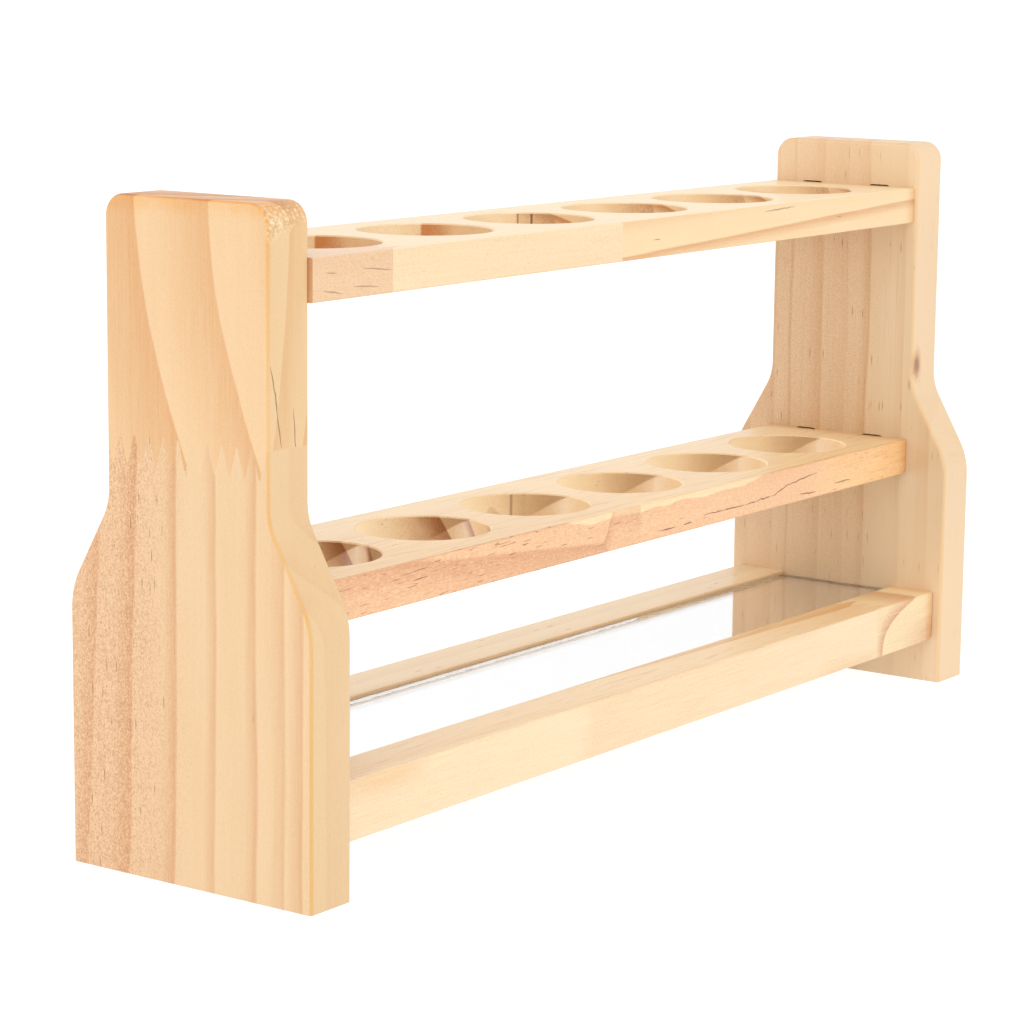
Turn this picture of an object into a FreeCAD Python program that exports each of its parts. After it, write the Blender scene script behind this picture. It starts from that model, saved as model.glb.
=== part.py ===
import FreeCAD, Part
import math
import os

# Pine rack with two shaped end panels, two shelves with six round holes each,
# two bottom rails and a strip of mirror lying between the rails.
# Millimetres. X runs along the length, -Y is the front, +Z is up.
# The origin is on the surface that the rack stands on, at the middle of its base.

V = FreeCAD.Vector

# ---- driving dimensions -------------------------------------------------------
total_length = 365.0
total_height = 188.5
panel_thickness = 17.0
arris_radius = 0.9            # softened long edges of the end panels

foot_depth = 86.0             # end panel, front to back, at the floor
neck_depth = 57.0             # end panel, front to back, above the shoulder
neck_start_z = 108.4          # the neck's straight sides begin here
shoulder_angle = 30.0         # slope of the shoulder, degrees from vertical
neck_blend_radius = 17.5      # hollow curve under the neck
foot_blend_radius = 22.8      # round curve at the top of the foot
top_corner_radius = 6.2

shelf_thickness = 12.1
shelf_back_y = 29.0           # back edge of both shelves
shelf_front_y_at_left = -29.8   # their front edge is a little out of parallel with the back
shelf_front_y_at_right = -27.4
shelf_arris_radius = 0.6
upper_shelf_z = 161.3         # underside of the upper shelf
middle_shelf_z = 73.2         # underside of the middle shelf

hole_count = 6
hole_diameter = 40.0
hole_pitch = 52.0
hole_rim_chamfer = 0.4

rail_bottom_z = 15.2
rail_height = 17.2
rail_outer_y = 40.0           # outer face of each rail, from the middle of the rack
front_rail_width = 17.0       # width of the front rail's top face
back_rail_width = 18.6        # the back rail reaches a little further in
rail_arris_radius = 0.8
eased_corner_radius = 2.5     # rounded lower end corners of the middle shelf and the rails

mirror_top_z = 31.1
glass_thickness = 2.8
backing_thickness = 0.2       # silvering and its protective paint
mirror_side_gap = 0.4
mirror_end_gap = 0.5
mirror_ledge_width = 5.0      # ledge on each rail that the mirror lies on

tenon_length = 9.0
mortise_depth = 9.5
shelf_tenon_width = 10.6
shelf_tenon_spacing = 27.0    # between the middles of a shelf's two tenons
shelf_mortise_width = 11.0
shelf_mortise_excess = 0.45   # a shelf mortise is this much taller than the shelf, above and below
tenon_corner_radius = 3.0
rail_tenon_width = 10.0
rail_tenon_height = 10.0
rail_mortise_clearance = 0.2

finger_pitch = 5.2
finger_length = 8.0
finger_tip = 0.5              # width of the flat tip of each finger
# each joint: where its finger roots are, and what it shows on the front face,
# the root of a finger (0.0) or its tip (0.5)
panel_joint = (115.6, 0.5)    # along Z
upper_shelf_joints = ((-130.7, 0.0), (-17.4, 0.0))    # along X, as the next two
middle_shelf_joints = ((-12.9, 0.5),)
front_rail_joints = ((126.0, 0.0),)

# ---- derived dimensions -------------------------------------------------------
inner_face_x = total_length / 2 - panel_thickness
tenon_root_overlap = 4.0      # how far a tenon's solid starts inside its board
far_out = 500.0               # reaches past the whole rack
tiny = 1e-4


def save(node, shape):
    """Write one piece as its own STEP file."""
    solids = shape.Solids
    shape = solids[0] if len(solids) == 1 else Part.makeCompound(solids)
    assert shape.isValid(), node
    shape.exportStep("parts/" + node + ".step")
    print(f"{node:32s} {len(solids)} solid  {shape.Volume / 1000:8.2f} cm3")


def box(x0, x1, y0, y1, z0, z1):
    """Box between two corners."""
    return Part.makeBox(x1 - x0, y1 - y0, z1 - z0, V(x0, y0, z0))


def filleted(shape, radius, chosen):
    """Round the edges for which chosen(edge) is true."""
    edges = [edge for edge in shape.Edges if chosen(edge)]
    return shape.makeFillet(radius, edges)


def along_x(edge):
    """True for a level edge that runs along the rack's length, or very nearly."""
    box_of_edge = edge.BoundBox
    return box_of_edge.YLength < 0.02 * box_of_edge.XLength and box_of_edge.ZLength < tiny


def rounded_block(x0, x1, y_middle, width, z_middle, height, radius):
    """Bar along X whose four long edges are rounded."""
    bar = box(x0, x1, y_middle - width / 2, y_middle + width / 2,
              z_middle - height / 2, z_middle + height / 2)
    return filleted(bar, radius, along_x)


def mirrored_x(shape):
    """The same piece on the other end of the rack."""
    return shape.mirror(V(0, 0, 0), V(1, 0, 0))


def mirrored_y(shape):
    """The same piece on the other side of the rack."""
    return shape.mirror(V(0, 0, 0), V(0, 1, 0))


# ---- end panels ---------------------------------------------------------------
def side_profile():
    """Edges of one side of an end panel, from the floor to the top, in the plane X = 0."""
    angle = math.radians(shoulder_angle)
    foot_y = foot_depth / 2
    neck_y = neck_depth / 2
    # the hollow curve's two ends
    neck_curve_top = V(0, neck_y, neck_start_z)
    neck_curve_middle = V(0, neck_y + neck_blend_radius * (1 - math.cos(angle / 2)),
                          neck_start_z - neck_blend_radius * math.sin(angle / 2))
    neck_curve_end = V(0, neck_y + neck_blend_radius * (1 - math.cos(angle)),
                       neck_start_z - neck_blend_radius * math.sin(angle))
    # the straight slope runs from the hollow curve to the round curve
    foot_curve_start_y = foot_y - foot_blend_radius * (1 - math.cos(angle))
    slope_drop = (foot_curve_start_y - neck_curve_end.y) / math.tan(angle)
    foot_curve_start = V(0, foot_curve_start_y, neck_curve_end.z - slope_drop)
    foot_curve_end_z = foot_curve_start.z - foot_blend_radius * math.sin(angle)
    foot_curve_middle = V(0, foot_y - foot_blend_radius * (1 - math.cos(angle / 2)),
                          foot_curve_end_z + foot_blend_radius * math.sin(angle / 2))
    foot_curve_end = V(0, foot_y, foot_curve_end_z)
    # the rounded top corner
    corner = top_corner_radius
    corner_start = V(0, neck_y, total_height - corner)
    corner_middle = V(0, neck_y - corner * (1 - math.cos(math.pi / 4)),
                      total_height - corner * (1 - math.sin(math.pi / 4)))
    corner_end = V(0, neck_y - corner, total_height)
    return [
        Part.LineSegment(V(0, foot_y, 0), foot_curve_end).toShape(),
        Part.Arc(foot_curve_end, foot_curve_middle, foot_curve_start).toShape(),
        Part.LineSegment(foot_curve_start, neck_curve_end).toShape(),
        Part.Arc(neck_curve_end, neck_curve_middle, neck_curve_top).toShape(),
        Part.LineSegment(neck_curve_top, corner_start).toShape(),
        Part.Arc(corner_start, corner_middle, corner_end).toShape(),
    ]


def plain_panel(x_start):
    """End panel with softened arrises, from x_start to x_start plus its thickness."""
    right_side = side_profile()
    left_side = [mirrored_y(edge) for edge in right_side]
    neck_top_y = neck_depth / 2 - top_corner_radius
    top = Part.LineSegment(V(0, neck_top_y, total_height), V(0, -neck_top_y, total_height)).toShape()
    floor = Part.LineSegment(V(0, foot_depth / 2, 0), V(0, -foot_depth / 2, 0)).toShape()
    outline = Part.Wire(Part.__sortEdges__(right_side + left_side + [top, floor]))
    panel = Part.Face(outline).extrude(V(panel_thickness, 0, 0))
    panel.translate(V(x_start, 0, 0))

    def on_a_face_outline(edge):
        flat = edge.BoundBox.XLength < tiny
        return flat and edge.BoundBox.ZMax > tiny

    return filleted(panel, arris_radius, on_a_face_outline)


def shelf_mortises(shelf_z):
    """The two pockets for one end of a shelf, at the right panel."""
    height = shelf_thickness + 2 * shelf_mortise_excess
    middle_z = shelf_z + shelf_thickness / 2
    return [rounded_block(inner_face_x - tiny, inner_face_x + mortise_depth, side * shelf_tenon_spacing / 2,
                          shelf_mortise_width, middle_z, height, tenon_corner_radius)
            for side in (-1, 1)]


def rail_mortises():
    """The pockets for the ends of the two rails, at the right panel."""
    width = rail_tenon_width + 2 * rail_mortise_clearance
    height = rail_tenon_height + 2 * rail_mortise_clearance
    return [rounded_block(inner_face_x - tiny, inner_face_x + mortise_depth, side * rail_middle_y,
                          width, rail_middle_z, height, tenon_corner_radius)
            for side in (-1, 1)]


def cut_all(shape, tools):
    """Cut every tool from the shape in turn."""
    for tool in tools:
        shape = shape.cut(tool)
    return shape


# ---- finger joints ------------------------------------------------------------
def finger_line(half_width, phase):
    """Points (across, along) of a row of fingers; phase is how far round a finger the row starts."""
    points = []
    across = -half_width - phase * finger_pitch
    slope = (finger_pitch - 2 * finger_tip) / 2
    while across < half_width + finger_pitch:
        points.append((across, 0.0))
        points.append((across + finger_tip, 0.0))
        points.append((across + finger_tip + slope, finger_length))
        points.append((across + 2 * finger_tip + slope, finger_length))
        across += finger_pitch
    return points


def below_joint_z(joint):
    """Everything below a finger joint whose fingers point up and zigzag across Y."""
    root_z, phase = joint
    line = [V(-far_out, y, root_z + along) for y, along in finger_line(neck_depth / 2, phase)]
    outline = [V(-far_out, -far_out, root_z), *line, V(-far_out, far_out, root_z),
               V(-far_out, far_out, -far_out), V(-far_out, -far_out, -far_out)]
    outline.append(outline[0])
    return Part.Face(Part.makePolygon(outline)).extrude(V(2 * far_out, 0, 0))


def left_of_joint_x(joint, y_start, y_end):
    """Everything left of a finger joint whose fingers point right and zigzag across Y from y_start."""
    root_x, phase = joint
    middle = (y_start + y_end) / 2
    line = [V(root_x + along, middle + across, -far_out)
            for across, along in finger_line((y_end - y_start) / 2, phase)]
    outline = [V(root_x, -far_out, -far_out), *line, V(root_x, far_out, -far_out),
               V(-far_out, far_out, -far_out), V(-far_out, -far_out, -far_out)]
    outline.append(outline[0])
    return Part.Face(Part.makePolygon(outline)).extrude(V(0, 0, 2 * far_out))


def split(board, left_region):
    """Cut a board in two at a joint; a chip that a hole has cut loose stays with the other block."""
    left = board.common(left_region).Solids
    right = board.cut(left_region).Solids
    left.sort(key=lambda solid: solid.Volume)
    right.sort(key=lambda solid: solid.Volume)
    left_block = left.pop()
    right_block = right.pop()
    for chip in left:
        right_block = right_block.fuse(chip)
    for chip in right:
        left_block = left_block.fuse(chip)
    return left_block.removeSplitter(), right_block.removeSplitter()


def split_along_x(board, joints, front_y, back_y):
    """Split a board into its finger-jointed blocks, from left to right; front_y(x) is its front edge."""
    blocks = []
    rest = board
    for joint in joints:
        root_x, phase = joint
        block, rest = split(rest, left_of_joint_x(joint, front_y(root_x), back_y))
        blocks.append(block)
    blocks.append(rest)
    return blocks


# ---- shelves ------------------------------------------------------------------
def hole_positions_x():
    """Middles of the holes along the rack."""
    return [(index - (hole_count - 1) / 2) * hole_pitch for index in range(hole_count)]


def shelf_front_y(x):
    """Front edge of a shelf at x along the rack."""
    share = (x + inner_face_x) / (2 * inner_face_x)
    return shelf_front_y_at_left + share * (shelf_front_y_at_right - shelf_front_y_at_left)


def eased_ends(board):
    """Round the lower corner at each end of a board."""
    bottom = board.BoundBox.ZMin

    def lower_end(edge):
        b = edge.BoundBox
        return b.XLength < tiny and b.ZLength < tiny and abs(b.ZMin - bottom) < tiny

    return filleted(board, eased_corner_radius, lower_end)


def shelf(shelf_z, has_eased_ends):
    """Shelf with its holes and two full-thickness tenons at each end."""
    corners = [V(x, shelf_front_y(x), shelf_z) for x in (-inner_face_x, inner_face_x)]
    corners += [V(x, shelf_back_y, shelf_z) for x in (inner_face_x, -inner_face_x)]
    corners.append(corners[0])
    board = Part.Face(Part.makePolygon(corners)).extrude(V(0, 0, shelf_thickness))
    if has_eased_ends:
        board = eased_ends(board)
    board = filleted(board, shelf_arris_radius, along_x)
    middle_z = shelf_z + shelf_thickness / 2
    for side in (-1, 1):
        tenon = rounded_block(inner_face_x - tenon_root_overlap, inner_face_x + tenon_length,
                              side * shelf_tenon_spacing / 2, shelf_tenon_width,
                              middle_z, shelf_thickness, tenon_corner_radius)
        board = board.fuse(tenon).fuse(mirrored_x(tenon))
    board = board.removeSplitter()
    radius = hole_diameter / 2
    rim = hole_rim_chamfer
    for x in hole_positions_x():
        board = board.cut(Part.makeCylinder(radius, shelf_thickness + 2, V(x, 0, shelf_z - 1)))
        top_rim = Part.makeCone(radius, radius + 2 * rim, 2 * rim, V(x, 0, shelf_z + shelf_thickness - rim))
        low_rim = Part.makeCone(radius + 2 * rim, radius, 2 * rim, V(x, 0, shelf_z - rim))
        board = board.cut(top_rim).cut(low_rim)
    return board


# ---- rails and mirror ---------------------------------------------------------
rail_top_z = rail_bottom_z + rail_height
ledge_top_z = mirror_top_z - glass_thickness - backing_thickness
rail_middle_y = rail_outer_y - front_rail_width / 2    # the tenons of both rails
rail_middle_z = rail_bottom_z + rail_height / 2


def rail_at_back(width):
    """A rail as it lies at the back: a square bar with a ledge along its inner side and a tenon at each end."""
    inner_y = rail_outer_y - width
    ledge_inner_y = inner_y - mirror_ledge_width
    bar = box(-inner_face_x, inner_face_x, ledge_inner_y, rail_outer_y, rail_bottom_z, rail_top_z)
    bar = eased_ends(bar)
    rebate = box(-far_out, far_out, ledge_inner_y - 1, inner_y, ledge_top_z, rail_top_z + 1)
    bar = bar.cut(rebate)

    def outside_arris(edge):
        b = edge.BoundBox
        on_top = abs(b.ZMin - rail_top_z) < tiny
        on_outer_face = abs(b.YMin - rail_outer_y) < tiny
        return along_x(edge) and (on_top or on_outer_face)

    bar = filleted(bar, rail_arris_radius, outside_arris)
    tenon = rounded_block(inner_face_x - tenon_root_overlap, inner_face_x + tenon_length, rail_middle_y,
                          rail_tenon_width, rail_middle_z, rail_tenon_height, tenon_corner_radius)
    return bar.fuse(tenon).fuse(mirrored_x(tenon)).removeSplitter()


def mirror_layer(low_z, high_z):
    """One layer of the mirror strip, which fits between the two rails."""
    half_length = inner_face_x - mirror_end_gap
    front_y = -rail_outer_y + front_rail_width + mirror_side_gap
    back_y = rail_outer_y - back_rail_width - mirror_side_gap
    return box(-half_length, half_length, front_y, back_y, low_z, high_z)


# ---- build --------------------------------------------------------------------
os.makedirs("parts", exist_ok=True)

mortises = [*shelf_mortises(upper_shelf_z), *shelf_mortises(middle_shelf_z), *rail_mortises()]
right_panel = cut_all(plain_panel(inner_face_x), mortises)
left_panel = cut_all(plain_panel(-total_length / 2), [mirrored_x(mortise) for mortise in mortises])
left_lower, left_upper = split(left_panel, below_joint_z(panel_joint))
save("left_panel_lower_block", left_lower)
save("left_panel_upper_block", left_upper)
save("right_panel", right_panel)

block_names = {2: ("left", "right"), 3: ("left", "middle", "right")}
for name, shelf_z, joints, has_eased_ends in (
        ("upper_shelf", upper_shelf_z, upper_shelf_joints, False),
        ("middle_shelf", middle_shelf_z, middle_shelf_joints, True)):
    blocks = split_along_x(shelf(shelf_z, has_eased_ends), joints, shelf_front_y, shelf_back_y)
    for place, block in zip(block_names[len(blocks)], blocks):
        save(f"{name}_{place}_block", block)

save("back_rail", rail_at_back(back_rail_width))
front_rail = mirrored_y(rail_at_back(front_rail_width))
front_rail_box = front_rail.BoundBox
front_blocks = split_along_x(front_rail, front_rail_joints, lambda x: front_rail_box.YMin, front_rail_box.YMax)
for place, block in zip(block_names[2], front_blocks):
    save(f"front_rail_{place}_block", block)

save("mirror_glass", mirror_layer(ledge_top_z + backing_thickness, mirror_top_z))
save("mirror_backing", mirror_layer(ledge_top_z, ledge_top_z + backing_thickness))
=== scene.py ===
"""Looks for a pine rack with two shaped ends, two shelves of round holes and a mirror strip.

Every wooden block is a solid texture of its own: growth rings, fibres, resin canals and end grain
are worked out from the position in the block, so that they run through from face to face.
"""

import math
import random
from dataclasses import dataclass

import bpy
from mathutils import Matrix, Vector


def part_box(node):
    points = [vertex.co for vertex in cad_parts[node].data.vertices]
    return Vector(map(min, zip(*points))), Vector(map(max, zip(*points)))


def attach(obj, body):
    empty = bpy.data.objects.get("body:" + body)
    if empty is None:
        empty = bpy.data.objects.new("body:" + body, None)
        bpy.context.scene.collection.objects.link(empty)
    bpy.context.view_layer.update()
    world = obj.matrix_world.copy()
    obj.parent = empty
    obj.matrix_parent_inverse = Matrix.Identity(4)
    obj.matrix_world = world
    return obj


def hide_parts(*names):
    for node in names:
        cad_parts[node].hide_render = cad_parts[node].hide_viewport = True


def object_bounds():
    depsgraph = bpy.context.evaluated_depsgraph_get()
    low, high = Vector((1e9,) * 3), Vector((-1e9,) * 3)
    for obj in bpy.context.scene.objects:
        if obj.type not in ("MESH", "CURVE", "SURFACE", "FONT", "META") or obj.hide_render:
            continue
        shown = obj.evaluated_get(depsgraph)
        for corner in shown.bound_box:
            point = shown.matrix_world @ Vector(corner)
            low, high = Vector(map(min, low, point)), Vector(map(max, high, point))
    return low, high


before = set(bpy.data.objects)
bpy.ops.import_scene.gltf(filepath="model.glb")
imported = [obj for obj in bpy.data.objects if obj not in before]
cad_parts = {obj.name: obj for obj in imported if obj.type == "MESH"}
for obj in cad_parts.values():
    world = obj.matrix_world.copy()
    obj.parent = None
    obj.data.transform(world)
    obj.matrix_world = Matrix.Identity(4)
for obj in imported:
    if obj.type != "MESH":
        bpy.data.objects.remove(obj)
cad_low, cad_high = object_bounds()

MM = 0.001
scene = bpy.context.scene


# ---- small tools for building node trees ---------------------------------------
class Field:
    """A number that varies over a surface. Arithmetic on it adds Math nodes."""

    def __init__(self, shader, socket):
        self.shader = shader
        self.socket = socket

    def _math(self, operation, *others):
        return self.shader.math(operation, self, *others)

    def __add__(self, other):
        return self._math("ADD", other)

    def __sub__(self, other):
        return self._math("SUBTRACT", other)

    def __mul__(self, other):
        return self._math("MULTIPLY", other)

    def __truediv__(self, other):
        return self._math("DIVIDE", other)

    def __pow__(self, other):
        return self._math("POWER", other)

    def __neg__(self):
        return self * -1.0

    __radd__ = __add__
    __rmul__ = __mul__

    def __rsub__(self, other):
        return self.shader.math("SUBTRACT", other, self)

    def absolute(self):
        return self._math("ABSOLUTE")

    def at_least(self, other):
        return self._math("MAXIMUM", other)

    def at_most(self, other):
        return self._math("MINIMUM", other)

    def clamped(self):
        return self.at_least(0.0).at_most(1.0)

    def step(self, low, high, ends=(0.0, 1.0)):
        """A smooth step: ends[0] below low, ends[1] above high."""
        node = self.shader.add("ShaderNodeMapRange", interpolation_type="SMOOTHSTEP")
        self.shader.put(node.inputs["Value"], self)
        for name, value in zip(("From Min", "From Max", "To Min", "To Max"), (low, high, *ends)):
            self.shader.put(node.inputs[name], value)
        return Field(self.shader, node.outputs["Result"])

    def fall(self, low, high):
        """A smooth step down: one below low, zero above high."""
        return self.step(low, high, ends=(1.0, 0.0))


class Shader:
    """A new material, and short calls for its nodes."""

    def __init__(self, name):
        self.material = bpy.data.materials.new(name)
        self.material.use_nodes = True
        self.tree = self.material.node_tree
        self.surface = self.tree.nodes["Principled BSDF"]

    def add(self, kind, **settings):
        node = self.tree.nodes.new(kind)
        for key, value in settings.items():
            setattr(node, key, value)
        return node

    def put(self, socket, value):
        if isinstance(value, Field):
            value = value.socket
        if isinstance(value, bpy.types.NodeSocket):
            self.tree.links.new(value, socket)
        else:
            socket.default_value = value

    def math(self, operation, *values):
        node = self.add("ShaderNodeMath", operation=operation)
        for socket, value in zip(node.inputs, values):
            self.put(socket, value)
        return Field(self, node.outputs[0])

    def vector(self, x, y, z):
        node = self.add("ShaderNodeCombineXYZ")
        for socket, value in zip(node.inputs, (x, y, z)):
            self.put(socket, value)
        return node.outputs[0]

    def split(self, socket):
        node = self.add("ShaderNodeSeparateXYZ")
        self.put(node.inputs[0], socket)
        return [Field(self, output) for output in node.outputs]

    def position(self):
        """Place in the rack's own frame, in millimetres."""
        x, y, z = self.split(self.add("ShaderNodeTexCoord").outputs["Object"])
        return x / MM, y / MM, z / MM

    def normal(self):
        return self.split(self.add("ShaderNodeNewGeometry").outputs["Normal"])

    def noise(self, place, scale=1.0, detail=2.0, roughness=0.5):
        """Noise from -1 to 1."""
        node = self.add("ShaderNodeTexNoise")
        self.put(node.inputs["Vector"], place)
        for name, value in (("Scale", scale), ("Detail", detail), ("Roughness", roughness)):
            self.put(node.inputs[name], value)
        return Field(self, node.outputs["Fac"]) * 2.0 - 1.0

    def cells(self, place, scale=1.0):
        """Voronoi cells: distance from the middle of the nearest one, and that cell's own random number."""
        node = self.add("ShaderNodeTexVoronoi")
        self.put(node.inputs["Vector"], place)
        self.put(node.inputs["Scale"], scale)
        return Field(self, node.outputs["Distance"]), self.split(node.outputs["Color"])[0]

    def ramp(self, value, stops, interpolation="LINEAR"):
        """Grey level from a value, through (place, level) stops."""
        node = self.add("ShaderNodeValToRGB")
        self.put(node.inputs[0], value)
        ramp = node.color_ramp
        ramp.interpolation = interpolation
        while len(ramp.elements) < len(stops):
            ramp.elements.new(0.5)
        for element, (place, level) in zip(ramp.elements, sorted(stops)):
            element.position = place
            element.color = (level, level, level, 1.0)
        return Field(self, node.outputs[0])

    def mix(self, amount, low, high, blend="MIX"):
        node = self.add("ShaderNodeMix", data_type="RGBA", blend_type=blend)
        self.put(node.inputs["Factor"], amount)
        for name, colour in (("A", low), ("B", high)):
            socket = [s for s in node.inputs if s.name == name and s.type == "RGBA"][0]
            self.put(socket, colour if isinstance(colour, bpy.types.NodeSocket) else (*colour, 1.0))
        return [s for s in node.outputs if s.type == "RGBA"][0]

    def bump(self, height, strength, distance):
        node = self.add("ShaderNodeBump")
        for name, value in (("Height", height), ("Strength", strength), ("Distance", distance)):
            self.put(node.inputs[name], value)
        return node.outputs[0]


def srgb(red, green, blue):
    """Linear colour from sRGB levels of 0 to 255."""
    def linear(level):
        level /= 255
        return level / 12.92 if level <= 0.04045 else ((level + 0.055) / 1.055) ** 2.4
    return tuple(linear(level) for level in (red, green, blue))


# ---- pine ----------------------------------------------------------------------
BROWN = srgb(150, 88, 44)
RESIN = srgb(112, 56, 20)
GILT = srgb(255, 222, 142)
PALE_FLECK = srgb(246, 226, 194)
BLUSH = srgb(250, 236, 236)


@dataclass
class Block:
    """Where the rings of one block run, and how it is coloured.

    grain is the axis along the fibres, "X" or "Z". field(x, y, z) gives the distance outwards across
    the rings in millimetres, and rings lists each ring there as (outer edge, darkness of its latewood,
    width of the band over which it darkens). early and late are the colours of the two kinds of wood.
    """
    grain: str
    field: object
    rings: list
    early: tuple
    late: tuple
    seed: int
    flush: tuple = None             # where across the rings the rosier part starts and is complete
    flush_colour: tuple = BLUSH
    speckle: float = 0.35           # strength of the mottled flecks
    canals: float = 0.4             # how common the resin canals are
    canal_zone: tuple = None        # the stretch across the rings that they keep to
    wander: float = 0.8             # how unsteady the ring edges are
    gilt: float = 0.0               # strength of the golden varnish along the arrises
    gilt_side: float = 0.0          # x of the panel face beside which that varnish shows in front
    extra: object = None            # a function that adds the marks of this block alone
    plain_top: float = 0.0          # how far the rings fade on upward faces
    plain_front: float = 0.0        # how far they fade on front faces
    fibre_depth: float = 0.08       # darkness of the fibres between the rings


def ring_levels(shader, outward, block):
    """How far into latewood each place is: rising slowly through a ring and falling sharply at its edge."""
    edges = [ring[0] for ring in block.rings]
    margin = 14.0
    low = edges[0] - margin
    span = edges[-1] + margin - low
    edge_width = 0.25
    early_share = 0.13    # how much of the darkness has come at the start of the band
    stops = [(0.0, 0.1)]
    start = low
    for edge, darkness, band_width in block.rings:
        band_start = max(edge - band_width, start + 1.0)
        stops.append(((band_start - low) / span, early_share * darkness))
        stops.append(((edge - edge_width - low) / span, darkness))
        stops.append(((edge + edge_width - low) / span, 0.0))
        start = edge
    stops.append((1.0, 0.3))
    place = (outward - low) / span
    return shader.ramp(place, stops)


def resin_canals(shader, block, outward, stretched):
    """One in the resin canals, which are sparse short dashes along the grain."""
    gap, chance = shader.cells(stretched(8.0, 0.62))
    inside = gap.fall(0.10, 0.34)
    crowding = shader.noise(stretched(34.0, 9.0), detail=1.0).step(-0.25, 0.45)
    if block.canal_zone is not None:
        start, finish = block.canal_zone
        after_start = outward.step(start - 4.0, start + 2.0)
        before_finish = outward.fall(finish - 2.0, finish + 4.0)
        crowding = crowding * after_start * before_finish
    chosen = (chance + crowding * (0.06 * block.canals)).step(0.992, 1.0)
    return inside * chosen


def arris_varnish(block, x, nx, ny):
    """Where varnish gathers on an end panel: on its rounded arrises, and in front beside one of them."""
    rounded = nx.absolute() * (1.0 - nx * nx).at_least(0.0) ** 0.5 * 2.0
    from_side = (x - block.gilt_side).absolute()
    beside = from_side.fall(0.5, 1.5) * ny.fall(-0.7, -0.3)
    return rounded.step(0.4, 1.0).at_least(beside)


def pine(name, block):
    """The material of one block."""
    shader = Shader(name)
    x, y, z = shader.position()
    nx, ny, nz = shader.normal()
    if block.grain == "Z":
        along, side_a, side_b, end = z, x, y, nz
    else:
        along, side_a, side_b, end = x, y, z, nx
    offset = block.seed * 17.3    # every block has a different piece of the noise

    def stretched(along_size, side_size):
        """Coordinates in which a feature that long and that thick has a size of one."""
        return shader.vector(along / along_size + offset, side_a / side_size - offset, side_b / side_size)

    # growth rings, with their edges wandering a little along the trunk
    sway = shader.noise(stretched(70.0, 24.0), detail=1.0) * (2.2 * block.wander)
    ripple = shader.noise(stretched(16.0, 2.2), detail=3.0, roughness=0.6) * (0.34 * block.wander)
    outward = block.field(x, y, z) + sway + ripple
    late = ring_levels(shader, outward, block)
    if block.plain_top:
        late = late * nz.step(0.5, 0.9, ends=(1.0, 1.0 - block.plain_top))
    if block.plain_front:
        late = late * ny.step(-0.7, -0.3, ends=(1.0 - block.plain_front, 1.0))

    # fibres along the grain, and the mottled flecks across it
    fibres = shader.noise(stretched(22.0, 0.5), detail=3.0, roughness=0.7)
    streaks = shader.noise(stretched(60.0, 2.4), detail=2.0)
    flecks = shader.noise(stretched(0.55, 0.36), detail=1.0, roughness=0.7)
    grit = shader.noise(stretched(3.0, 0.34), detail=1.0)
    cloud = shader.noise(stretched(48.0, 11.0), detail=2.0)
    end_grain = end.absolute().step(0.35, 0.95)

    fibrous = late * fibres * 0.55 + fibres * block.fibre_depth
    depth = (late + fibrous + streaks * 0.09).clamped()
    paler = tuple(level ** 0.9 for level in block.early)
    colour = shader.mix(cloud.step(-0.7, 0.7) * 0.55, block.early, paler)
    colour = shader.mix(depth, colour, block.late)

    # a rosier, more mottled part of the block
    mottle = (flecks * 1.8 + grit * 0.35) * block.speckle
    if block.flush is not None:
        start, finish = block.flush
        blush = (outward + cloud * 5.0 + streaks * 3.0).step(start, finish)
        colour = shader.mix(blush * 0.8, colour, block.flush_colour, blend="MULTIPLY")
        mottle = mottle * (blush * 1.5 + 0.25)
    dark_fleck = tuple(level * 0.72 for level in block.late)
    pale_fleck = tuple(min(level * 1.16, 0.95) for level in block.early)
    colour = shader.mix(mottle.clamped() * 0.8, colour, dark_fleck)
    colour = shader.mix((-mottle).clamped() * 0.7, colour, pale_fleck)

    # end grain drinks the varnish and darkens, latewood most of all
    colour = shader.mix(end_grain * 0.42, colour, srgb(228, 190, 140), blend="MULTIPLY")
    colour = shader.mix(end_grain * (depth * 0.55 + mottle.absolute() * 0.25), colour, BROWN)

    canal = None
    if block.canals:
        canal = resin_canals(shader, block, outward, stretched)
        colour = shader.mix(canal * 0.7, colour, RESIN)
    # the plainer front faces are also a little darker
    if block.plain_front:
        front = ny.fall(-0.7, -0.3) * (cloud * 0.5 + 0.75)
        colour = shader.mix(front.at_most(1.0), colour, srgb(246, 246, 238), blend="MULTIPLY")
    if block.extra is not None:
        colour = block.extra(shader, colour, x, y, z, (nx, ny, nz))

    if block.gilt:
        varnish = arris_varnish(block, x, nx, ny) * (streaks * 0.5 + 0.6)
        colour = shader.mix(varnish * block.gilt, colour, GILT, blend="MULTIPLY")

    surface = shader.surface
    shader.put(surface.inputs["Base Color"], colour)
    gloss = 0.43 - late * 0.07 + flecks * 0.04 + end_grain * 0.12
    relief = late * 0.25 + fibres * 0.30 + flecks * block.speckle * 0.3 + flecks * end_grain * 0.3
    if canal is not None:
        gloss = gloss + canal * 0.2
        relief = relief - canal * 0.9
    shader.put(surface.inputs["Roughness"], gloss)
    shader.put(surface.inputs["Normal"], shader.bump(relief, 0.35, 0.00010))
    surface.inputs["Specular IOR Level"].default_value = 0.42
    surface.inputs["Coat Weight"].default_value = 0.22
    surface.inputs["Coat Roughness"].default_value = 0.22
    return shader.material


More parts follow.
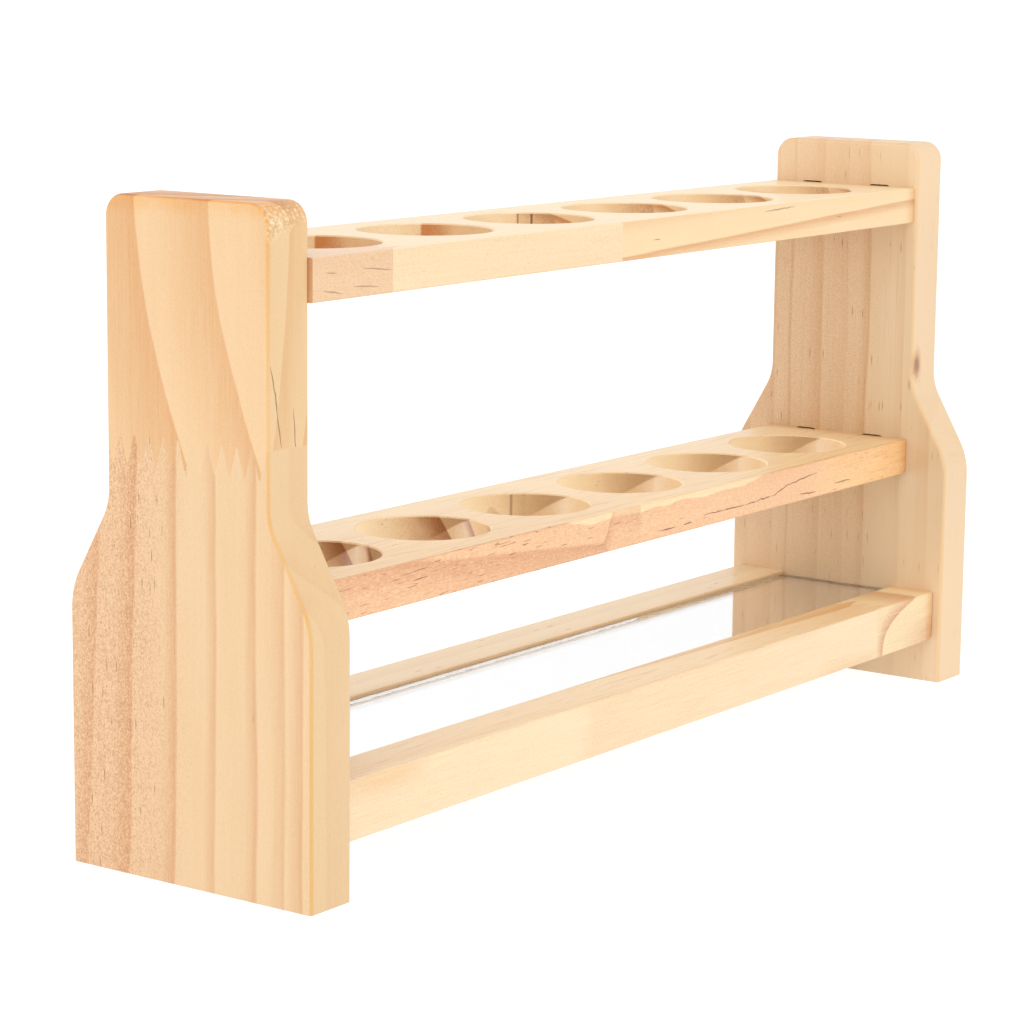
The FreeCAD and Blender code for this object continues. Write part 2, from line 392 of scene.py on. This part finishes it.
# ---- the blocks ----------------------------------------------------------------
left_face_x = cad_low.x / MM
back_edge_y = cad_high.y / MM
right_face_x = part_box("right_panel")[0].x / MM
upper_low_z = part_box("upper_shelf_right_block")[0].z / MM
middle_low_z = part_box("middle_shelf_left_block")[0].z / MM
rail_low_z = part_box("back_rail")[0].z / MM
top_z = cad_high.z / MM
shelf_low, shelf_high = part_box("middle_shelf_left_block")
joint_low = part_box("middle_shelf_right_block")[0]
shelf_back_y = shelf_high.y / MM
shelf_thickness = (shelf_high.z - shelf_low.z) / MM
inner_left_x = -right_face_x
shelf_front_y = shelf_low.y / MM
shelf_front_slope = (joint_low.y - shelf_low.y) / (joint_low.x / MM - inner_left_x) / MM


def behind_shelf_front(x, y):
    """Distance back from the front edge of a shelf, which isn't quite parallel with the rack."""
    return y - (x - inner_left_x) * shelf_front_slope - shelf_front_y


def inside_a_hole(x, y, normal):
    """One on the walls of a shelf's holes, and zero on its top and its front and back edges."""
    wall = normal[2].absolute().fall(0.3, 0.6)
    from_front = behind_shelf_front(x, y)
    from_back = shelf_back_y - y
    return wall * from_front.at_most(from_back).step(1.5, 3.0)


def on_shelf_front(y, normal):
    """One on the front face of a shelf or of a panel, all of which lie in front of y -26."""
    return normal[1].fall(-0.9, -0.6) * y.fall(-26.0, -24.0)


def upper_cathedral(x, y, z):
    """Rings that sweep forward on the way down the left panel."""
    drop = top_z - 2.5 - z
    return back_edge_y - y - (x - left_face_x) * 2.15 - drop * 0.06 - drop * drop * 0.003


def lower_bands(x, y, z):
    """Nearly upright rings that lean back a little near the back edge."""
    from_back = back_edge_y - y
    lean = (1.0 - from_back / 70.0) * (1.0 - from_back / 70.0)
    return from_back - (x - left_face_x) * 0.45 + (120.0 - z) * 0.07 * lean


def right_bands(x, y, z):
    """Upright rings, nearly parallel with the back edge."""
    from_back = back_edge_y - y
    return from_back + (x - right_face_x) * 0.35


def across_y(outward_sign, middle_z, tilt_z=0.0, tilt_x=0.0):
    """Rings that lie upright along a board, leaning by tilt_z about middle_z and drifting by tilt_x."""
    def field(x, y, z):
        return y * outward_sign + (z - middle_z) * tilt_z + x * tilt_x
    return field


def sloping_rings(low_z, start_x, slope, tilt):
    """Rings seen as one long line climbing along the front face."""
    def field(x, y, z):
        return (z - low_z) - (x - start_x) * slope - behind_shelf_front(x, y) * tilt
    return field


def leaning_rings(x, y, z):
    """Rings that lean forward on the way down in the middle shelf's left holes, and bend near the joint."""
    depth = middle_low_z + shelf_thickness - z
    bend = x.step(-26.0, -18.0) * 8.0
    return (x + 63.0) * 0.065 - y - depth * 0.6 - bend


def bent_rings(x, y, z):
    """Rings that bend away from the joint towards the top of the rail, beside a knot that was cut off."""
    height = (z - rail_low_z).at_least(0.0)
    bend = height * height * 0.0135
    return (x - (right_face_x - 35.3) - bend * height / 3.0) / (bend * bend + 1.0) ** 0.5


# the ring of the upper shelf's middle block that turns orange-brown where the holes cut through it
ORANGE_RING_Y = 13.75
ORANGE_RING_DRIFT = -0.0173


# ---- marks that one block has and the others don't ------------------------------
def hairline(shader, across, up, start, finish, width):
    """One on a thin, slightly crooked line between two points of a face, fading to nothing beside it."""
    run = finish[0] - start[0]
    rise = finish[1] - start[1]
    length = math.hypot(run, rise)
    crooked = shader.noise(shader.vector(across / 3.1, up / 3.1, 0.0), detail=1.0) * (width * 0.9)
    from_start = across - start[0] + crooked * (rise / length)
    above_start = up - start[1] + crooked * (run / length)
    share = ((from_start * run + above_start * rise) / (length * length)).clamped()
    off_across = from_start - share * run
    off_up = above_start - share * rise
    gap = (off_across * off_across + off_up * off_up) ** 0.5
    from_middle = share * 2.0 - 1.0
    thickness = 1.0 - from_middle * from_middle * 0.75
    return (gap / thickness).fall(width * 0.3, width)


def draw_hairlines(shader, colour, across, up, mask, lines, strength=0.5):
    """Lay dark hairlines on the part of a block where mask is one."""
    drawn = None
    for start, finish, width in lines:
        line = hairline(shader, across, up, start, finish, width)
        drawn = line if drawn is None else drawn.at_least(line)
    return shader.mix(drawn * mask * strength, colour, RESIN)


def left_upper_marks(shader, colour, x, y, z, normal):
    """Drying cracks on the front edge, gathered varnish under the top, and rough grain at its corner."""
    front = on_shelf_front(y, normal)
    across = x - left_face_x
    lines = [((1.2, 146.0), (3.4, 137.0), 0.35), ((3.2, 139.0), (3.9, 133.0), 0.45),
             ((3.9, 133.5), (5.6, 124.0), 0.35), ((10.6, 134.0), (11.6, 121.0), 0.3)]
    colour = draw_hairlines(shader, colour, across, z, front, lines, strength=0.75)
    # varnish has gathered under the top edge, and the corner shows rough end grain
    blotch = shader.noise(shader.vector(x / 6.0, y / 9.0, z / 5.0), detail=1.0).step(-0.4, 0.4)
    under_top = z.step(top_z - 6.0, top_z - 1.5) * (blotch * 0.7 + 0.3)
    colour = shader.mix(under_top * 0.5, colour, GILT, blend="MULTIPLY")
    specks = shader.noise(shader.vector(x / 1.0, y / 1.0, z / 0.9), detail=2.0, roughness=0.7)
    corner = normal[1].fall(-0.7, -0.2) * (z - across * 0.35).step(176.0, 181.0)
    colour = shader.mix((specks * 2.4).clamped() * corner * 0.7, colour, srgb(190, 142, 88))
    return shader.mix((specks * -2.4).clamped() * corner * 0.7, colour, PALE_FLECK)


def right_panel_marks(shader, colour, x, y, z, normal):
    """Brown threads on the faces, painted light towards the top and the foot, and a plainer front edge with
    a small dark knot in it.
    """
    threads = shader.noise(shader.vector(x / 9.0, y / 0.55, z / 45.0), detail=3.0, roughness=0.6)
    patchy = shader.noise(shader.vector(x / 9.0, y / 9.0, z / 60.0), detail=1.0).step(-0.5, 0.3)
    threads = (threads * 2.4 - 0.35).clamped() * patchy
    colour = shader.mix(threads * 0.5, colour, srgb(184, 134, 82))
    # painted light: paler above the upper shelf, where the top light falls, and near the foot, to lift the
    # shade that the rails and mirror cast there
    painted_light_at_ends = z.step(150.0, 182.0).at_least(z.fall(30.0, 78.0))
    colour = shader.mix(painted_light_at_ends * 0.4, colour, srgb(244, 214, 176))
    edge = normal[1].fall(-0.8, -0.3)
    colour = shader.mix(edge * 0.7, colour, srgb(224, 193, 152))
    knot_x, knot_z = right_face_x + 3.4, 111.5
    knot_half_width, knot_half_height = 3.0, 5.2
    across = (x - knot_x) / knot_half_width
    up = (z - knot_z) / knot_half_height
    wobble = shader.noise(shader.vector(x / 1.5, y / 8.0, z / 2.2), detail=2.0) * 0.35
    ring = (across * across + up * up) ** 0.5 + wobble
    front = y.fall(-26.0, -20.0) * normal[1].fall(-0.7, -0.2)
    colour = shader.mix(ring.step(0.7, 1.5, ends=(0.6, 0.0)) * front, colour, srgb(206, 150, 96))
    return shader.mix(ring.step(0.2, 1.0, ends=(0.75, 0.0)) * front, colour, srgb(124, 82, 60))


def upper_left_marks(shader, colour, x, y, z, normal):
    """Short cracks on the front face."""
    front = on_shelf_front(y, normal)
    up = z - upper_low_z
    lines = [((-144.0, 7.8), (-131.0, 6.3), 0.3), ((-148.0, 3.2), (-137.0, 2.2), 0.34),
             ((-161.0, 2.9), (-153.0, 1.6), 0.34), ((-160.0, 7.6), (-155.0, 7.2), 0.26)]
    return draw_hairlines(shader, colour, x, up, front, lines)


def upper_middle_marks(shader, colour, x, y, z, normal):
    """The orange-brown layer is stronger where the holes cut through it."""
    behind_edge = ORANGE_RING_Y - x * ORANGE_RING_DRIFT - y
    layer = behind_edge.step(-0.3, 0.3) * behind_edge.fall(1.0, 8.0)
    streaky = shader.noise(shader.vector(x / 1.4, y / 1.4, z / 40.0), detail=2.0) * 0.5 + 0.8
    amount = layer * streaky * inside_a_hole(x, y, normal) * 0.5
    return shader.mix(amount.at_least(0.0), colour, srgb(196, 124, 58))


def upper_right_marks(shader, colour, x, y, z, normal):
    """A crack on the front, a brown layer in the holes, and the dark glue lines of the joint."""
    front = on_shelf_front(y, normal)
    up = z - upper_low_z
    crack = ((65.0, 10.0), (84.0, 10.6), 0.34)
    colour = draw_hairlines(shader, colour, x, up, front, [crack], strength=0.6)
    colour = shader.mix(front * 0.7, colour, srgb(252, 244, 232), blend="MULTIPLY")
    # a brown, speckled layer that only shows in the walls of the holes
    depth = upper_low_z + shelf_thickness - z
    inside = inside_a_hole(x, y, normal)
    layer = -4.7 - (-y - x * 0.043 - depth * 0.35)
    brown = layer.step(-0.3, 0.3) * layer.fall(0.0, 14.0)
    specks = shader.noise(shader.vector(x / 0.7, y / 0.7, z / 0.7), detail=2.0, roughness=0.6)
    amount = brown * (specks * 0.9 + 0.62).at_least(0.0)
    colour = shader.mix((amount * inside).at_most(1.0), colour, srgb(176, 128, 88))
    # dark glue lines between the fingers of the joint, in the third hole
    joint_x, back_glue_y, front_glue_y = -11.0, 14.2, 10.9
    near_joint = (x - joint_x).absolute().fall(3.0, 4.5) * inside
    glue = (y - back_glue_y).absolute().step(0.05, 0.3, ends=(0.8, 0.0))
    glue = glue.at_least((y - front_glue_y).absolute().fall(0.12, 0.45))
    colour = shader.mix(glue * near_joint * 0.85, colour, srgb(104, 58, 28))
    # painted shade where the block meets the right panel
    return painted_shade_at_right_panel(shader, colour, x)


def painted_shade_at_right_panel(shader, colour, x):
    """Painted shade: the wood turns a darker golden brown within 7 mm of the right panel, where shade
    gathers in the corner.
    """
    close = x.step(right_face_x - 7.0, right_face_x)
    return shader.mix(close * 0.5, colour, srgb(232, 190, 130), blend="MULTIPLY")


def rosy_layer(shader, colour, x, y, z, normal):
    """A rosy, resinous layer along the front face, golden near the right panel, with pale wood above it."""
    up = z - middle_low_z
    wave = shader.noise(shader.vector(x / 13.0, 3.0, 0.0), detail=1.0) * 1.5
    pale_length = x.step(-52.0, -34.0) * x.fall(56.0, 78.0)
    below = (up - (13.6 - pale_length * 3.4) - wave).fall(-0.5, 0.4)
    depth_in = behind_shelf_front(x, y).at_most(shelf_back_y - y)
    layer = (depth_in - wave * 0.4).fall(0.5, 1.5) * below
    rosy = x.step(92.0, 122.0, ends=(1.0, 0.15)) * layer
    golden = layer - rosy
    colour = shader.mix(rosy * 0.85, colour, srgb(236, 208, 196), blend="MULTIPLY")
    colour = shader.mix(golden * 0.85, colour, srgb(250, 222, 184), blend="MULTIPLY")
    threads = shader.noise(shader.vector(x / 16.0, y, (z - x * 0.03) / 0.5), detail=2.0, roughness=0.6)
    colour = shader.mix((threads * 1.8).clamped() * golden * 0.6, colour, srgb(186, 128, 74))
    flecks = shader.noise(shader.vector(x / 1.5, y, z / 0.45), detail=2.0, roughness=0.7)
    colour = shader.mix((flecks * 1.6).clamped() * rosy * 0.5, colour, srgb(204, 138, 94))
    colour = shader.mix((flecks * -1.6).clamped() * layer * 0.35, colour, PALE_FLECK)
    # resin pockets along the grain, crowded towards both ends
    crooked_z = z - x * 0.04 + shader.noise(shader.vector(x / 2.0, 1.0, z / 4.0), detail=1.0) * 0.2
    streak = shader.noise(shader.vector(x / 7.0, y / 9.0, crooked_z / 0.42), detail=1.0, roughness=0.4)
    patch = shader.noise(shader.vector(x / 30.0, 9.0, z / 6.0), detail=1.0) * 0.25
    more_at_ends = x.step(-50.0, 60.0, ends=(0.20, 0.04)) + x.step(96.0, 120.0) * 0.14
    dash = (streak + patch + more_at_ends).step(0.56, 0.68)
    colour = shader.mix(dash * layer * 0.75, colour, RESIN)
    # a long crack, and short ones beside it
    front = normal[1].fall(-0.9, -0.6) * layer
    lines = [((32.0, 3.9), (57.0, 3.6), 0.34), ((57.0, 3.6), (77.0, 4.5), 0.4),
             ((75.0, 4.4), (84.0, 6.6), 0.32), ((82.0, 6.5), (103.0, 8.3), 0.32),
             ((20.0, 2.5), (25.0, 2.5), 0.34), ((92.0, 2.4), (103.0, 1.9), 0.34),
             ((115.0, 3.1), (126.0, 3.2), 0.34), ((5.0, 2.3), (15.0, 2.4), 0.38)]
    broken = shader.noise(shader.vector(x / 5.0, 7.0, z / 1.5), detail=2.0).step(-0.5, 0.0)
    return draw_hairlines(shader, colour, x, up, front * broken, lines, strength=0.9)


def wavy_top_grain(shader, colour, x, y, normal):
    """Fine wavy grain on the top, which is paler towards the back and darker towards the front."""
    top = normal[2].step(0.5, 0.9)
    drift = shader.noise(shader.vector(x / 60.0, y / 25.0, 2.0), detail=1.0) * 6.0
    grain = shader.noise(shader.vector(x / 50.0, (y + drift) / 1.1, 5.0), detail=3.0, roughness=0.7)
    colour = shader.mix((grain * 2.6).clamped() * top * 0.7, colour, srgb(200, 156, 100))
    colour = shader.mix(top * y.step(-10.0, 28.0) * 0.3, colour, srgb(244, 226, 190))
    near_front = top * y.fall(-28.0, 8.0)
    return shader.mix(near_front * 0.7, colour, srgb(242, 238, 226), blend="MULTIPLY")


def hole_walls_painted_light_and_glue(shader, colour, x, y, normal):
    """Painted light and shade on the holes' rough walls: greyer and darker towards the front, a pale cream
    where the walls face towards +X; one wall also shows the joint's glue line.
    """
    wall = inside_a_hole(x, y, normal)
    painted_shade_towards_front = y.fall(4.0, 19.0)
    # painted shade: the walls are greyed and darkened towards the front
    colour = shader.mix(wall * painted_shade_towards_front * 0.75, colour, srgb(206, 199, 192), blend="MULTIPLY")
    # painted light: walls that face towards +X are lifted to a pale cream
    colour = shader.mix(wall * normal[0].step(-0.6, 0.5) * 0.8, colour, srgb(254, 236, 200))
    glue_x, glue_y = -12.8, 15.0
    glue = (y - glue_y).absolute().fall(0.15, 0.4)
    glue = glue * (x - glue_x).absolute().fall(2.0, 3.0)
    return shader.mix(glue * wall * 0.6, colour, srgb(130, 88, 50))


def middle_marks(shader, colour, x, y, z, normal):
    """Everything that both blocks of the middle shelf have besides their rings, with painted light and shade
    in the holes and painted shade against the right panel.
    """
    colour = rosy_layer(shader, colour, x, y, z, normal)
    colour = wavy_top_grain(shader, colour, x, y, normal)
    colour = hole_walls_painted_light_and_glue(shader, colour, x, y, normal)
    # painted shade where the blocks meet the right panel
    return painted_shade_at_right_panel(shader, colour, x)


def front_rail_left_marks(shader, colour, x, y, z, normal):
    """Two faint orange patches on the front, and brown threads in the more golden top."""
    front = normal[1].fall(-0.9, -0.6)
    up = z - rail_low_z
    high_patch_x, low_patch_x = -146.0, 108.0
    high_patch = (x - high_patch_x).absolute().fall(6.0, 24.0) * up.step(8.0, 15.0)
    low_patch = (x - low_patch_x).absolute().fall(8.0, 26.0) * up.fall(0.5, 5.0)
    streaky = shader.noise(shader.vector(x / 12.0, y, z / 1.1), detail=2.0) * 0.4 + 0.7
    patch = high_patch.at_least(low_patch) * streaky
    colour = shader.mix(patch * front * 0.55, colour, srgb(240, 206, 156), blend="MULTIPLY")
    rail_top = normal[2].step(0.5, 0.9)
    threads = shader.noise(shader.vector(x / 18.0, (y - x * 0.02) / 0.7, z / 9.0), detail=2.0, roughness=0.6)
    threads = (threads * 2.2 - 0.3).clamped() * rail_top
    colour = shader.mix(threads * 0.6, colour, srgb(176, 128, 80))
    towards_end = x.step(60.0, 126.0) * rail_top
    return shader.mix(towards_end * 0.35, colour, srgb(236, 196, 130), blend="MULTIPLY")


def front_rail_right_marks(shader, colour, x, y, z, normal):
    """Only the painted shade at the end, where it meets the right panel."""
    return painted_shade_at_right_panel(shader, colour, x)


# ---- what each block is like -----------------------------------------------------
blocks = {
    "left_panel_upper_block": Block(
        "Z", upper_cathedral, [(-16, 0.6, 20), (25.0, 0.85, 30), (51.4, 0.75, 19), (79, 0.7, 14)],
        early=srgb(225, 189, 144), late=srgb(209, 156, 101), seed=1, speckle=0.2, canals=0.0,
        wander=0.6, gilt=0.9, gilt_side=left_face_x, plain_front=0.3, extra=left_upper_marks),
    "left_panel_lower_block": Block(
        "Z", lower_bands, [(-2, 0.5, 6), (12.5, 0.65, 5), (25, 0.8, 6), (39.5, 0.8, 4.2), (53.2, 0.6, 4),
                           (67.3, 0.7, 4), (77, 0.5, 5), (83.5, 0.6, 5)],
        early=srgb(222, 188, 145), late=srgb(203, 149, 99), seed=2, flush=(46, 22), speckle=0.62,
        canals=4.0, canal_zone=(10, 36), wander=0.55, gilt=0.9, gilt_side=left_face_x, plain_front=0.7),
    "right_panel": Block(
        "Z", right_bands, [(6, 0.3, 8), (16, 0.35, 8), (22.7, 0.7, 1.6), (35, 0.6, 6), (45, 0.3, 9),
                           (53.3, 0.7, 4), (68, 0.3, 5), (80, 0.3, 7)],
        early=srgb(216, 188, 150), late=srgb(196, 150, 102), seed=3, flush=(66, 44),
        flush_colour=srgb(252, 242, 238), speckle=0.35, canals=3.0, gilt=0.5, gilt_side=right_face_x,
        extra=right_panel_marks),
    "upper_shelf_left_block": Block(
        "X", across_y(1.0, upper_low_z + 6.0, 0.3),
        [(-36, 0.4, 8), (-22, 0.5, 8), (-8, 0.4, 8), (12, 1.0, 6), (26, 0.4, 8)],
        early=srgb(222, 186, 146), late=srgb(198, 142, 96), seed=4, speckle=0.45, canals=0.4,
        extra=upper_left_marks, plain_top=0.9),
    "upper_shelf_middle_block": Block(
        "X", across_y(1.0, upper_low_z + 6.0, 0.0, ORANGE_RING_DRIFT),
        [(-14, 0.2, 8), (ORANGE_RING_Y, 1.0, 9), (31, 0.3, 8)],
        early=srgb(232, 207, 166), late=srgb(206, 138, 74), seed=5, speckle=0.3, canals=0.0,
        wander=0.4, extra=upper_middle_marks, plain_top=0.95),
    "upper_shelf_right_block": Block(
        "X", sloping_rings(upper_low_z, -17.5, 0.0388, 0.3),
        [(-23, 0.6, 8), (-10, 0.7, 7), (1.3, 0.85, 3.2), (14, 0.5, 6)],
        early=srgb(234, 208, 166), late=srgb(206, 150, 92), seed=6, speckle=0.15, canals=0.1,
        wander=0.25, extra=upper_right_marks, plain_top=0.95),
    "middle_shelf_left_block": Block(
        "X", leaning_rings, [(-26, 0.4, 8), (-8.0, 1.0, 7), (2.0, 0.8, 3), (14, 0.5, 5), (26, 0.5, 6)],
        early=srgb(230, 200, 156), late=srgb(178, 112, 56), seed=7, speckle=0.3, canals=0.6,
        wander=0.5, extra=middle_marks, plain_top=0.8),
    "middle_shelf_right_block": Block(
        "X", sloping_rings(middle_low_z, -17.5, 0.01, 0.3),
        [(-40, 0.2, 8), (14, 0.3, 8)],
        early=srgb(232, 202, 158), late=srgb(208, 152, 100), seed=8, speckle=0.22, canals=0.15,
        extra=middle_marks, plain_top=0.8),
    "back_rail": Block(
        "X", across_y(-1.0, rail_low_z + 8.6, 0.3),
        [(-46, 0.4, 8), (-37, 0.5, 7), (-28, 0.5, 7), (-17, 0.6, 7)],
        early=srgb(236, 212, 176), late=srgb(214, 170, 120), seed=9, speckle=0.45, canals=1.4, plain_top=0.6,
        fibre_depth=0.2),
    "front_rail_left_block": Block(
        "X", across_y(-1.0, rail_low_z + 8.6, 0.0, -0.035), [(12, 0.3, 9), (25.4, 0.75, 9), (42, 0.2, 9)],
        early=srgb(235, 210, 172), late=srgb(208, 156, 92), seed=10, speckle=0.35, canals=0.0,
        fibre_depth=0.3, extra=front_rail_left_marks),
    "front_rail_right_block": Block(
        "X", bent_rings, [(-14, 0.3, 9), (0.0, 0.9, 4.5), (46, 0.8, 32)],
        early=srgb(234, 206, 160), late=srgb(198, 140, 92), seed=11, speckle=0.3, canals=0.0,
        fibre_depth=0.2, wander=0.3, extra=front_rail_right_marks),
}

for node_name, block in blocks.items():
    cad_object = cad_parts[node_name]
    material = pine("pine_" + node_name, block)
    cad_object.data.materials.clear()
    cad_object.data.materials.append(material)


# ---- mirror --------------------------------------------------------------------
def silvering_material():
    """Silver seen from above through the glass, and grey protective paint underneath."""
    shader = Shader("silvering")
    x, y, z = shader.position()
    _, _, up = shader.normal()
    silver = up.step(0.4, 0.6)
    blotch = shader.noise(shader.vector(x / 9.0, y / 9.0, z), detail=3.0)
    paint = shader.mix(blotch.step(-0.6, 0.6), srgb(118, 116, 112), srgb(136, 132, 126))
    shader.put(shader.surface.inputs["Base Color"], shader.mix(silver, paint, srgb(255, 255, 255)))
    shader.put(shader.surface.inputs["Metallic"], silver)
    shader.put(shader.surface.inputs["Roughness"], 0.62 - silver * 0.60)
    return shader.material


def glass_material():
    shader = Shader("mirror_glass")
    surface = shader.surface
    surface.inputs["Base Color"].default_value = (1.0, 1.0, 1.0, 1.0)
    surface.inputs["Transmission Weight"].default_value = 1.0
    surface.inputs["IOR"].default_value = 1.5
    surface.inputs["Roughness"].default_value = 0.0
    return shader.material


def chipped_edge_material():
    """The broken facets along the cut edges: they sparkle in pale grey, and have dark brown patches between
    them.
    """
    shader = Shader("chipped_glass_edge")
    x, y, z = shader.position()
    dark_patches = shader.noise(shader.vector(x / 2.6, y / 2.6, z / 2.6), detail=3.0).step(-0.1, 0.5)
    shader.put(shader.surface.inputs["Base Color"], shader.mix(dark_patches, srgb(206, 206, 200), srgb(96, 78, 58)))
    shader.put(shader.surface.inputs["Metallic"], 0.75 - dark_patches * 0.5)
    shader.put(shader.surface.inputs["Roughness"], dark_patches * 0.4 + 0.12)
    return shader.material


def cut_edge_material():
    """The cut edge of the sheet, seen from inside through the glass as a tan to dark brown strip: painted
    shadow and painted reflection of the wood where the sheet's ends meet the panels.
    """
    shader = Shader("cut_glass_edge")
    x, y, z = shader.position()
    # painted shadow and painted reflection: tan wood colour with darker brown patches
    painted_shadow_mottle = shader.noise(shader.vector(x / 4.0, y / 4.0, z / 1.2), detail=3.0).step(-0.5, 0.5)
    colour = shader.mix(painted_shadow_mottle, srgb(214, 182, 144), srgb(150, 112, 80))
    shader.put(shader.surface.inputs["Base Color"], colour)
    shader.put(shader.surface.inputs["Roughness"], painted_shadow_mottle * 0.2 + 0.4)
    return shader.material


def chipped_glass():
    """The sheet of glass, with small irregular chips along its cut top edges."""
    low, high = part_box("mirror_glass")
    silver_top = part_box("mirror_backing")[1].z
    bottom = silver_top - 0.05 * MM    # the silver starts inside the glass, with no gap between the two
    chance = random.Random(5)
    spacing = 1.1 * MM
    deepest_inset = 0.5 * MM
    deepest_drop = 0.6 * MM
    tiny = 0.001 * MM
    corners = [(low.x, low.y), (high.x, low.y), (high.x, high.y), (low.x, high.y)]
    middle_x = (low.x + high.x) / 2
    middle_y = (low.y + high.y) / 2
    rings = ([], [], [])
    for (x0, y0), (x1, y1) in zip(corners, corners[1:] + corners[:1]):
        count = round(math.hypot(x1 - x0, y1 - y0) / spacing)
        for step in range(count):
            share = (step + (chance.uniform(-0.3, 0.3) if step else 0.0)) / count
            x = x0 + (x1 - x0) * share
            y = y0 + (y1 - y0) * share
            inset = chance.uniform(0.12, 1.0) ** 2 * deepest_inset
            drop = chance.uniform(0.2, 1.0) ** 2 * deepest_drop
            on_short_side = abs(x - middle_x) > high.x - middle_x - spacing / 2
            on_long_side = abs(y - middle_y) > high.y - middle_y - spacing / 2
            inner_x = x - math.copysign(inset, x - middle_x) if on_short_side else x
            inner_y = y - math.copysign(inset, y - middle_y) if on_long_side else y
            rings[0].append((inner_x, inner_y, high.z))
            rings[1].append((x, y, high.z - drop))
            rings[2].append((x, y, bottom))
    total = len(rings[0])
    vertices = [point for ring in rings for point in ring]
    faces = [tuple(range(total))]
    slots = [0]
    for band in (0, 1):
        for start in range(total):
            after = (start + 1) % total
            upper, lower = band * total, (band + 1) * total
            faces.append((upper + after, upper + start, lower + start, lower + after))
            at_an_end = abs(vertices[start + total][0] - vertices[after + total][0]) < tiny
            slots.append(1 if band == 0 else 2 if at_an_end else 0)
    faces.append(tuple(reversed(range(2 * total, 3 * total))))
    slots.append(0)
    mesh = bpy.data.meshes.new("mirror_glass_sheet")
    mesh.from_pydata(vertices, [], faces)
    mesh.materials.append(glass_material())
    mesh.materials.append(chipped_edge_material())
    # the ends' material carries painted shadow and painted reflection of the panels
    mesh.materials.append(cut_edge_material())
    for polygon, slot in zip(mesh.polygons, slots):
        polygon.material_index = slot
    mesh.validate()
    sheet = bpy.data.objects.new("mirror_glass_sheet", mesh)
    scene.collection.objects.link(sheet)
    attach(sheet, "root")
    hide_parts("mirror_glass")


chipped_glass()
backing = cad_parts["mirror_backing"]
backing.data.materials.clear()
backing.data.materials.append(silvering_material())


# ---- floor, light and camera ---------------------------------------------------
def add_floor():
    """A plain pale floor that is lit evenly all over."""
    bpy.ops.mesh.primitive_plane_add(size=14.0, location=(0, 0, -0.0002))
    floor = bpy.context.object
    floor.name = "floor"
    shader = Shader("floor_white")
    shader.surface.inputs["Base Color"].default_value = (0.3, 0.3, 0.3, 1.0)
    shader.surface.inputs["Roughness"].default_value = 0.9
    shader.surface.inputs["Specular IOR Level"].default_value = 0.0
    shader.surface.inputs["Emission Color"].default_value = (1.0, 1.0, 1.0, 1.0)
    shader.surface.inputs["Emission Strength"].default_value = 0.9
    floor.data.materials.append(shader.material)
    floor.visible_shadow = False


def add_softbox(name, direction, distance, size, power):
    """A square soft light that stands in a direction from the middle of the rack and faces it."""
    light = bpy.data.lights.new(name, "AREA")
    light.shape = "SQUARE"
    light.size = size
    light.energy = power
    holder = bpy.data.objects.new(name, light)
    target = Vector((0.0, 0.0, 90.0)) * MM
    holder.location = target + Vector(direction).normalized() * distance
    holder.rotation_euler = (target - holder.location).to_track_quat("-Z", "Y").to_euler()
    scene.collection.objects.link(holder)


def add_light_off_the_mirror(direction, strength, spread):
    """The beam that the mirror throws up at the shelf above it, as a distant light from below."""
    light = bpy.data.lights.new("light_off_the_mirror", "SUN")
    light.energy = strength
    light.color = (0.72, 0.88, 1.0)
    light.angle = math.radians(spread)
    holder = bpy.data.objects.new("light_off_the_mirror", light)
    holder.rotation_euler = (-Vector(direction)).to_track_quat("-Z", "Y").to_euler()
    scene.collection.objects.link(holder)
    lit = bpy.data.collections.new("lit_by_the_mirror")
    for node_name in ("middle_shelf_left_block", "middle_shelf_right_block"):
        lit.objects.link(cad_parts[node_name])
    holder.light_linking.receiver_collection = lit


def add_world():
    world = bpy.data.worlds.new("white_room")
    world.use_nodes = True
    background = world.node_tree.nodes["Background"]
    background.inputs["Color"].default_value = (1.0, 1.0, 1.0, 1.0)
    background.inputs["Strength"].default_value = 1.06
    scene.world = world


def add_camera():
    """Camera at the left front, a little above the rack and tilted by half a degree."""
    azimuth = math.radians(54.26)
    elevation = math.radians(10.10)
    roll = math.radians(0.60)
    target = Vector((-33.1, 0.0, 83.8)) * MM
    distance = 980.5 * MM
    back = Vector((-math.sin(azimuth) * math.cos(elevation),
                   -math.cos(azimuth) * math.cos(elevation), math.sin(elevation)))
    level = Vector((0, 0, 1)).cross(back).normalized()
    up = back.cross(level)
    side = level * math.cos(roll) + up * math.sin(roll)
    top = up * math.cos(roll) - level * math.sin(roll)
    data = bpy.data.cameras.new("camera")
    data.lens = 112.49
    data.sensor_width = 36.0
    data.clip_start = 0.01
    data.clip_end = 100.0
    camera = bpy.data.objects.new("camera", data)
    turn = Matrix((side, top, back)).transposed().to_4x4()
    camera.matrix_world = Matrix.Translation(target + back * distance) @ turn
    scene.collection.objects.link(camera)
    scene.camera = camera


add_floor()
add_world()
add_light_off_the_mirror((-0.71, 0.62, -0.34), 3.4, 1.5)
add_softbox("left_softbox", (-0.95, -0.2, 0.4), 1.3, 0.8, 0.8)
add_softbox("overhead_softbox", (-0.5, -0.4, 0.9), 1.2, 1.0, 2.9)
add_softbox("front_softbox", (0.1, -1.0, 0.55), 1.4, 0.9, 0.8)
add_camera()
scene.view_settings.view_transform = "Standard"
